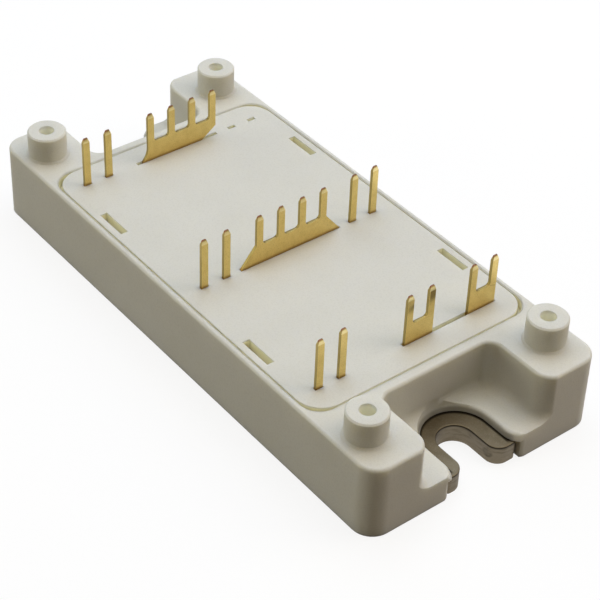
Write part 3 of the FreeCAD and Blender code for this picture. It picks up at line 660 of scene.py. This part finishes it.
@dataclass(frozen=True)
class InnerFinish:
    """A finish of the pieces under the lid."""

    name: str
    colour: Colour
    shade: Colour
    grain_mm: float
    roughness: float
    metallic: float = 0.0
    depth_mm: float = 0.004
    alpha: float = 1.0

    def make(self) -> bpy.types.Material:
        """Build the material.

        Returns:
            The material.
        """
        paint = Paint(self.name)
        clouds = paint.noise(self.grain_mm, 3.0)
        body = paint.mix(clouds.rise(0.35, 0.7), self.colour, self.shade)
        roughness = self.roughness + clouds * 0.08
        return paint.surface({"Base Color": body, "Roughness": roughness,
                              "Normal": paint.bump(clouds, self.depth_mm)},
                             {"Metallic": self.metallic, "Alpha": self.alpha})


INNER_FINISHES = {
    "sealant": InnerFinish("cured_sealant", srgb(200, 198, 188), srgb(180, 178, 168), 1.0, 0.5),
    "solder": InnerFinish("dull_solder", srgb(176, 176, 178), srgb(140, 140, 144), 0.5, 0.45,
                          1.0),
    "copper": InnerFinish("bare_copper", srgb(206, 140, 106), srgb(170, 104, 74), 0.8, 0.38,
                          1.0),
    "ceramic": InnerFinish("white_alumina", srgb(236, 234, 226), srgb(222, 220, 210), 0.3,
                           0.35),
    "silicon": InnerFinish("chip_metal", srgb(150, 152, 160), srgb(120, 122, 134), 0.6, 0.3,
                           1.0),
    "thermistor_body": InnerFinish("thermistor_glaze", srgb(52, 52, 58), srgb(34, 34, 40), 0.3,
                                   0.3),
    "bond_wire": InnerFinish("drawn_aluminium", srgb(206, 206, 208), srgb(180, 180, 184), 0.2,
                             0.35, 1.0),
    "gel": InnerFinish("clear_gel", srgb(226, 222, 196), srgb(214, 208, 178), 6.0, 0.12, 0.0,
                       0.02, 0.45),
}


# Modelling steps

def only(obj: bpy.types.Object) -> None:
    """Select one object and make it active.

    Args:
        obj: The object.
    """
    bpy.ops.object.select_all(action="DESELECT")
    obj.select_set(True)
    bpy.context.view_layer.objects.active = obj


def copy_of(node: str, name: str) -> bpy.types.Object:
    """A merged copy of a solid that a detailed piece is made from.

    Args:
        node: Name of the solid.
        name: Name of the new piece.

    Returns:
        The copy, with the triangles of each flat face joined.
    """
    only(frame["nodes"][node])
    bpy.ops.object.duplicate()
    copy = bpy.context.view_layer.objects.active
    copy.name = name
    copy.data.name = name
    del copy["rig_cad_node"]
    copy.data.materials.clear()
    bpy.ops.object.parent_clear(type="CLEAR_KEEP_TRANSFORM")
    bpy.ops.mesh.customdata_custom_splitnormals_clear()
    bpy.ops.object.mode_set(mode="EDIT")
    bpy.ops.mesh.select_all(action="SELECT")
    bpy.ops.mesh.remove_doubles(threshold=MERGE_MM * MM)
    bpy.ops.mesh.dissolve_limited(angle_limit=math.radians(FLAT_DEGREES))
    bpy.ops.object.mode_set(mode="OBJECT")
    return copy


@dataclass(frozen=True)
class Edge:
    """An edge between two faces of a piece, in millimetres and degrees."""

    index: int
    x: float
    y: float
    low: float
    high: float
    angle: float
    outward: bool

    @property
    def level(self) -> bool:
        """Whether the edge lies at one height."""
        return self.high - self.low < LEVEL_MM

    def at_height(self, height: float) -> bool:
        """Whether the edge is level and lies at this height."""
        return self.level and abs(self.high - height) < LEVEL_MM


def edges_of(obj: bpy.types.Object) -> list[Edge]:
    """Every edge of a piece that two faces share.

    Args:
        obj: The piece.

    Returns:
        The edges with their places and angles.
    """
    mesh = obj.data
    faces: dict[int, list[int]] = {}
    for face in mesh.polygons:
        for loop in face.loop_indices:
            faces.setdefault(mesh.loops[loop].edge_index, []).append(face.index)
    found = []
    for edge in mesh.edges:
        beside = faces.get(edge.index, [])
        if len(beside) != 2:
            continue
        first, second = (mesh.polygons[index] for index in beside)
        start, end = (mesh.vertices[index].co / MM for index in edge.vertices)
        middle = (start + end) / 2
        angle = math.degrees(first.normal.angle(second.normal, 0.0))
        across = (second.center / MM - middle).dot(first.normal)
        found.append(Edge(edge.index, middle.x, middle.y, min(start.z, end.z),
                          max(start.z, end.z), angle, across < 0))
    return found


def round_edges(obj: bpy.types.Object, chosen: Callable[[Edge], bool], width_mm: float,
                segments: int = 2) -> None:
    """Round chosen edges of a piece.

    Args:
        obj: The piece.
        chosen: Says of an edge whether it is rounded.
        width_mm: Width of the rounding.
        segments: Number of faces across the rounding.
    """
    picked = {edge.index for edge in edges_of(obj) if chosen(edge)}
    only(obj)
    bpy.ops.object.mode_set(mode="EDIT")
    bpy.ops.mesh.select_mode(type="EDGE")
    bpy.ops.mesh.select_all(action="DESELECT")
    bpy.ops.object.mode_set(mode="OBJECT")
    for edge in obj.data.edges:
        edge.select = edge.index in picked
    bpy.ops.object.mode_set(mode="EDIT")
    bpy.ops.mesh.bevel(offset_type="OFFSET", offset=width_mm * MM, segments=segments,
                       affect="EDGES", clamp_overlap=False)
    bpy.ops.mesh.select_all(action="SELECT")
    bpy.ops.mesh.remove_doubles(threshold=WELD_MM * MM)
    bpy.ops.object.mode_set(mode="OBJECT")
    log.info("%s: %d edges rounded by %.2f mm", obj.name, len(picked), width_mm)


def smooth(obj: bpy.types.Object, angle: float = 30.0) -> None:
    """Shade a piece smoothly up to an angle, with large faces kept flat.

    Args:
        obj: The piece.
        angle: Edges sharper than this many degrees stay hard.
    """
    only(obj)
    bpy.ops.object.shade_smooth_by_angle(angle=math.radians(angle))
    shading = obj.modifiers.new("flat_faces", "WEIGHTED_NORMAL")
    shading.keep_sharp = True
    shading.weight = 80
    bpy.ops.object.modifier_apply(modifier=shading.name)


def seat(obj: bpy.types.Object, material: bpy.types.Material,
         stands_for: str) -> None:
    """Dress a finished piece and let it stand for its solid.

    Args:
        obj: The piece.
        material: Its finish.
        stands_for: Name of the solid.
    """
    obj.data.materials.clear()
    obj.data.materials.append(material)
    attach(obj, "root")
    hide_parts(stands_for)
    log.info("%s: %d faces", obj.name, len(obj.data.polygons))


def dress(node: str, material: bpy.types.Material) -> None:
    """Give a solid that stays as it is a finish.

    Args:
        node: Name of the solid.
        material: The finish.
    """
    solid = frame["nodes"][node]
    solid.data.materials.clear()
    solid.data.materials.append(material)
    log.info("%s dressed", node)


# Sub-assemblies

@dataclass
class MouldedShell:
    """The plastic frame and the lid that snaps into it."""

    top: float = 11.8
    recess_floor: float = 4.2
    rim_bevel: float = 0.3
    rim_width: float = 0.16
    seat_width: float = 0.12
    lid_width: float = 0.14
    lip_width: float = 0.4
    lip_start: float = 36.2
    lip_end: float = 44.6
    lip_inner: float = 4.5
    lip_outer: float = 7.2
    lip_segments: int = 3
    lip_angle: float = 50.0
    rim_angles: tuple[float, float] = (35.0, 60.0)
    lid_end: float = 31.0
    lid_side: float = 18.6
    cut_width: float = 0.05

    def build(self) -> None:
        """Make the frame and the lid with softly rounded edges."""
        self.build_frame()
        self.build_lid()

    def build_frame(self) -> None:
        """Make the frame: its rim, the seat of the lid and the lips of the end slots."""
        shell = copy_of("housing", "frame_moulding")

        def on_rim(edge: Edge) -> bool:
            """Whether an edge borders the sloping rim.

            Args:
                edge: An edge of the frame.

            Returns:
                Whether it is one of the rim's edges that are rounded.
            """
            least, most = self.rim_angles
            at_rim = edge.low > self.top - self.rim_bevel - LEVEL_MM * 2
            at_rim = at_rim and edge.high < self.top + LEVEL_MM
            return edge.level and at_rim and least < edge.angle < most and edge.outward

        def on_seat(edge: Edge) -> bool:
            """Whether an edge borders the seat of the lid."""
            return edge.at_height(self.top) and edge.angle > SQUARE_DEGREES

        def on_lip(edge: Edge) -> bool:
            """Whether an edge borders the recess floor above a slot.

            Args:
                edge: An edge of the frame.

            Returns:
                Whether it is one of the lips that are rounded.
            """
            along = self.lip_start < abs(edge.x) < self.lip_end
            beside = self.lip_inner < abs(edge.y) < self.lip_outer
            at_lip = edge.at_height(self.recess_floor) and edge.outward
            return along and beside and at_lip and edge.angle > self.lip_angle

        round_edges(shell, on_lip, self.lip_width, self.lip_segments)
        round_edges(shell, on_seat, self.seat_width)
        round_edges(shell, on_rim, self.rim_width)
        smooth(shell)
        seat(shell, MouldedPlastic("frame_plastic").make(), "housing")

    def build_lid(self) -> None:
        """Make the lid with softened edges round its outline, windows and slots."""
        lid = copy_of("lid", "lid_moulding")

        def on_top(edge: Edge) -> bool:
            """Whether an edge borders the top face."""
            return edge.at_height(self.top) and edge.angle > SQUARE_DEGREES

        round_edges(lid, lambda edge: on_top(edge) and self.outline(edge), self.lid_width)
        round_edges(lid, lambda edge: on_top(edge) and not self.outline(edge), self.cut_width)
        smooth(lid)
        seat(lid, MouldedPlastic("lid_plastic").make(), "lid")

    def outline(self, edge: Edge) -> bool:
        """Whether an edge lies on the outline of the lid."""
        return abs(edge.x) > self.lid_end or abs(edge.y) > self.lid_side


@dataclass
class Base:
    """The metal plate under the module."""

    edge: float = 0.15
    segments: int = 3
    lower_half: float = 1.0

    def on_top(self, edge: Edge) -> bool:
        """Whether an edge borders the upper face."""
        return edge.level and edge.angle > SQUARE_DEGREES and edge.low > self.lower_half

    def build(self) -> None:
        """Make the plate with rolled-over stamped edges."""
        plate = copy_of("base_plate", "base_plate_stamping")
        round_edges(plate, self.on_top, self.edge, self.segments)
        smooth(plate)
        seat(plate, NickelPlate("satin_nickel").make(), "base_plate")


@dataclass
class Terminals:
    """The combs, the forks and the single pins."""

    edge: float = 0.05
    lid_top: float = 11.8
    segments: int = 2
    sharp: float = 50.0
    blades: tuple[str, ...] = ("comb_far", "comb_middle", "fork_centre", "fork_side")
    pins: tuple[tuple[Row, int], ...] = ((Row.FAR, 2), (Row.MIDDLE, 4), (Row.NEAR, 2))

    def build(self) -> None:
        """Make every terminal, first the wide ones and then the pins row by row."""
        finish = GoldFlash("gold_flash").make()
        for blade in self.blades:
            self.build_blade("terminal_" + blade, blade, finish)
        for row, count in self.pins:
            for number in range(1, count + 1):
                pin = f"pin_{row.value}_{number}"
                self.build_blade("control_" + pin, pin, finish)

    def build_blade(self, node: str, name: str, finish: bpy.types.Material) -> None:
        """Make one terminal with the small rounding of a stamped and plated edge.

        Args:
            node: Name of its solid.
            name: Name of the blade.
            finish: The plating.
        """
        blade = copy_of(node, name + "_blade")
        round_edges(blade, self.above_lid, self.edge, self.segments)
        smooth(blade)
        seat(blade, finish, node)

    def above_lid(self, edge: Edge) -> bool:
        """Whether an edge is sharp and reaches above the lid."""
        return edge.angle > self.sharp and edge.high > self.lid_top


@dataclass
class Inside:
    """The pieces under the lid, which keep their solids."""

    finishes: dict[str, InnerFinish] = field(default_factory=lambda: dict(INNER_FINISHES))

    def build(self) -> None:
        """Dress each inner solid with the finish of its material slot."""
        made = {slot: finish.make() for slot, finish in self.finishes.items()}
        for entry in frame["record"]["subparts"]:
            if entry["material_slot"] in made:
                dress(entry["node"], made[entry["material_slot"]])


# Studio

@dataclass(frozen=True)
class SoftBox:
    """A square lamp that looks at the module.

    The azimuth is counted from the left long side towards the near end, in degrees. The
    distance and the size are in metres.
    """

    name: str
    azimuth: float
    elevation: float
    distance: float
    size: float
    power: float
    colour: tuple[float, float, float] = (1.0, 1.0, 1.0)

    def build(self) -> None:
        """Make the lamp."""
        lamp = bpy.data.lights.new(self.name, "AREA")
        lamp.shape = "SQUARE"
        lamp.size = self.size
        lamp.energy = self.power
        lamp.color = self.colour
        holder = bpy.data.objects.new(self.name, lamp)
        bpy.context.scene.collection.objects.link(holder)
        turn, tilt = math.radians(self.azimuth), math.radians(self.elevation)
        holder.location = Vector((math.sin(turn) * math.cos(tilt),
                                  -math.cos(turn) * math.cos(tilt),
                                  math.sin(tilt))) * self.distance
        holder.rotation_euler = (-holder.location).to_track_quat("-Z", "Y").to_euler()


@dataclass
class Studio:
    """Pale floor, soft boxes above and beside the module, and a white background."""

    floor_size: float = 4.0
    floor_drop: float = 0.02
    bounce: Colour = (0.22, 0.18, 0.13, 1.0)
    shadow_share: float = 0.15
    white: Colour = (1.0, 1.0, 1.0, 1.0)
    sky_colour: Colour = (1.0, 0.84, 0.6, 1.0)
    sky: float = 0.01
    lamps: tuple[SoftBox, ...] = (
        SoftBox("top_box", 0.0, 90.0, 0.75, 0.85, 3.45, (1.0, 0.88, 0.67)),
        SoftBox("back_box", -128.0, 60.0, 0.75, 0.85, 4.4, (0.58, 0.74, 1.0)),
        SoftBox("left_box", -35.0, 13.0, 0.7, 0.3, 1.16, (1.0, 1.0, 0.86)),
        SoftBox("right_box", 150.0, 35.0, 0.7, 0.45, 1.85, (1.0, 0.9, 0.8)),
    )

    def build(self) -> None:
        """Make the floor, the world and the lamps."""
        self.build_floor()
        self.build_world()
        for lamp in self.lamps:
            lamp.build()

    def build_floor(self) -> None:
        """A wide floor that shows white to the camera and keeps a faint shadow."""
        bpy.ops.mesh.primitive_plane_add(size=self.floor_size,
                                         location=(0, 0, -self.floor_drop * MM))
        floor = bpy.context.active_object
        floor.name = "studio_floor"
        paint = Paint("floor_paper")
        seen = paint.node("ShaderNodeLightPath", {}, {}, "Is Camera Ray")
        for ray in ("Is Glossy Ray", "Is Transmission Ray"):
            seen = seen.most(paint.node("ShaderNodeLightPath", {}, {}, ray))
        matt = paint.node("ShaderNodeBsdfDiffuse", {}, {0: paint.mix(seen, self.bounce, self.white)})
        shown = paint.node("ShaderNodeEmission", {}, {0: self.white, 1: 1.0})
        share = seen * (1 - self.shadow_share)
        paint.close(paint.node("ShaderNodeMixShader", {}, {0: share, 1: matt, 2: shown}))
        floor.data.materials.append(paint.material)

    def build_world(self) -> None:
        """An even warm sky that lights every side a little."""
        world = bpy.data.worlds.new("studio_sky")
        bpy.context.scene.world = world
        world.use_nodes = True
        back = world.node_tree.nodes["Background"]
        back.inputs[0].default_value = self.sky_colour
        back.inputs[1].default_value = self.sky


@dataclass
class PhotoCamera:
    """The camera at the photograph's viewpoint, with its clip distances in metres."""

    place: tuple[float, float, float] = (162.528, -128.785, 170.47)
    turn: tuple[float, float, float] = (51.774, -1.883, 52.098)
    lens: float = 108.202
    sensor: float = 36.0
    shift: tuple[float, float] = (-0.00937, -0.0562)
    clip: tuple[float, float] = (0.01, 10.0)

    def build(self) -> None:
        """Make the camera and use it."""
        data = bpy.data.cameras.new("photo_camera")
        data.lens = self.lens
        data.sensor_width = self.sensor
        data.shift_x, data.shift_y = self.shift
        data.clip_start, data.clip_end = self.clip
        camera = bpy.data.objects.new("photo_camera", data)
        bpy.context.scene.collection.objects.link(camera)
        camera.location = Vector(self.place) * MM
        camera.rotation_euler = Euler([math.radians(angle) for angle in self.turn])
        bpy.context.scene.camera = camera


def main() -> None:
    """Build the module, the studio and the camera."""
    logging.basicConfig(level=logging.INFO, format="%(message)s")
    bpy.context.scene.view_settings.view_transform = "Standard"
    for assembly in (MouldedShell(), Base(), Terminals(), Inside(), Studio(), PhotoCamera()):
        assembly.build()
        log.info("%s built", type(assembly).__name__)


if __name__ == "__main__":
    main()
